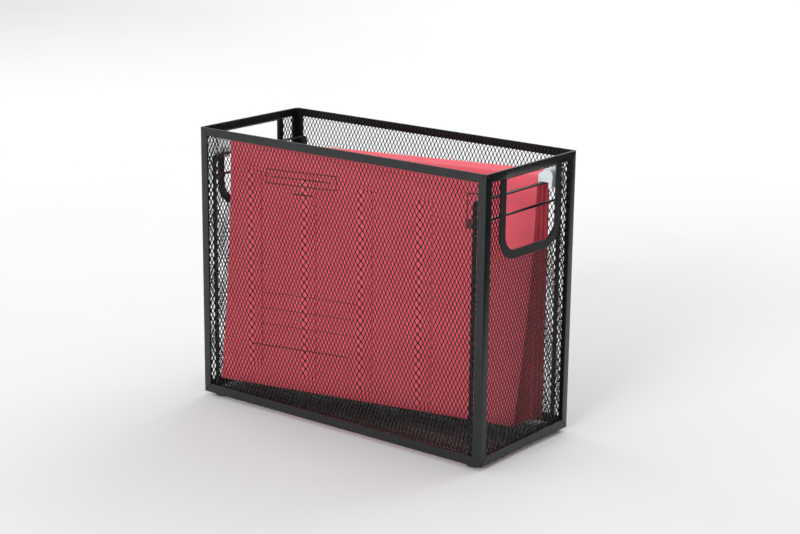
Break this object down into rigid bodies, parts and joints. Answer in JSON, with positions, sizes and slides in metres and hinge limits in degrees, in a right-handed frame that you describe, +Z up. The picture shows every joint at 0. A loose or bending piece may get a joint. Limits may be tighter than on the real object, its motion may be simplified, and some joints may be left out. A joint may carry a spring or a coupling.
{
  "type": "desktop hanging file holder",
  "caption": "Open-top desktop file holder in black steel mesh with handle openings, holding red card hanging folders on rails at its ends.",
  "frame": {"origin": "on the surface under the feet, below the middle of the frame", "axes": "+X along the long sides, +Y from the front long side to the back one, +Z up"},
  "size_m": [0.325, 0.137, 0.261],
  "materials": {
    "powder_coat": "satin black powder coat",
    "expanded_metal": "satin black powder coat on expanded metal",
    "rubber": "matt",
    "red_card": "matt coated card",
    "rod_steel": "bright rolled strip",
    "white_plastic": "moulded white plastic"
  },
  "bodies": {
    "holder": {"post_front_left": "powder_coat", "post_front_right": "powder_coat", "post_back_left": "powder_coat", "post_back_right": "powder_coat", "top_rail_front": "powder_coat", "top_rail_back": "powder_coat", "top_rail_left": "powder_coat", "top_rail_right": "powder_coat", "bottom_rail_front": "powder_coat", "bottom_rail_back": "powder_coat", "bottom_rail_left": "powder_coat", "bottom_rail_right": "powder_coat", "mesh_panel_front": "expanded_metal", "mesh_panel_back": "expanded_metal", "mesh_panel_left": "expanded_metal", "mesh_panel_right": "expanded_metal", "mesh_panel_floor": "expanded_metal", "handle_frame_left": "powder_coat", "handle_frame_right": "powder_coat", "hanging_rail_left": "powder_coat", "hanging_rail_right": "powder_coat", "brace_left": "powder_coat", "brace_right": "powder_coat", "foot_front_left": "rubber", "foot_front_right": "rubber", "foot_back_left": "rubber", "foot_back_right": "rubber"},
    "folder_1": {"folder_1_sheet_front": "red_card", "folder_1_sheet_back": "red_card", "folder_1_bottom": "red_card", "folder_1_rod_front": "rod_steel", "folder_1_hook_front_left": "white_plastic", "folder_1_hook_front_right": "white_plastic", "folder_1_rod_back": "rod_steel", "folder_1_hook_back_left": "white_plastic", "folder_1_hook_back_right": "white_plastic"},
    "folder_2": {"folder_2_sheet_front": "red_card", "folder_2_sheet_back": "red_card", "folder_2_rod_front": "rod_steel", "folder_2_hook_front_left": "white_plastic", "folder_2_hook_front_right": "white_plastic", "folder_2_rod_back": "rod_steel", "folder_2_hook_back_left": "white_plastic", "folder_2_hook_back_right": "white_plastic"},
    "folder_3": {"folder_3_sheet_front": "red_card", "folder_3_sheet_back": "red_card", "folder_3_rod_front": "rod_steel", "folder_3_hook_front_left": "white_plastic", "folder_3_hook_front_right": "white_plastic", "folder_3_rod_back": "rod_steel", "folder_3_hook_back_left": "white_plastic", "folder_3_hook_back_right": "white_plastic"},
    "folder_4": {"folder_4_sheet_front": "red_card", "folder_4_sheet_back": "red_card", "folder_4_rod_front": "rod_steel", "folder_4_hook_front_left": "white_plastic", "folder_4_hook_front_right": "white_plastic", "folder_4_rod_back": "rod_steel", "folder_4_hook_back_left": "white_plastic", "folder_4_hook_back_right": "white_plastic"}
  },
  "joints": [
    {"name": "folder_1_lift", "type": "slide", "parent": "holder", "child": "folder_1", "axis": [0, 0, 1], "range_m": [0, 0.26]},
    {"name": "folder_2_lift", "type": "slide", "parent": "holder", "child": "folder_2", "axis": [0, 0, 1], "range_m": [0, 0.26]},
    {"name": "folder_3_lift", "type": "slide", "parent": "holder", "child": "folder_3", "axis": [0, 0, 1], "range_m": [0, 0.26]},
    {"name": "folder_4_lift", "type": "slide", "parent": "holder", "child": "folder_4", "axis": [0, 0, 1], "range_m": [0, 0.26]}
  ]
}
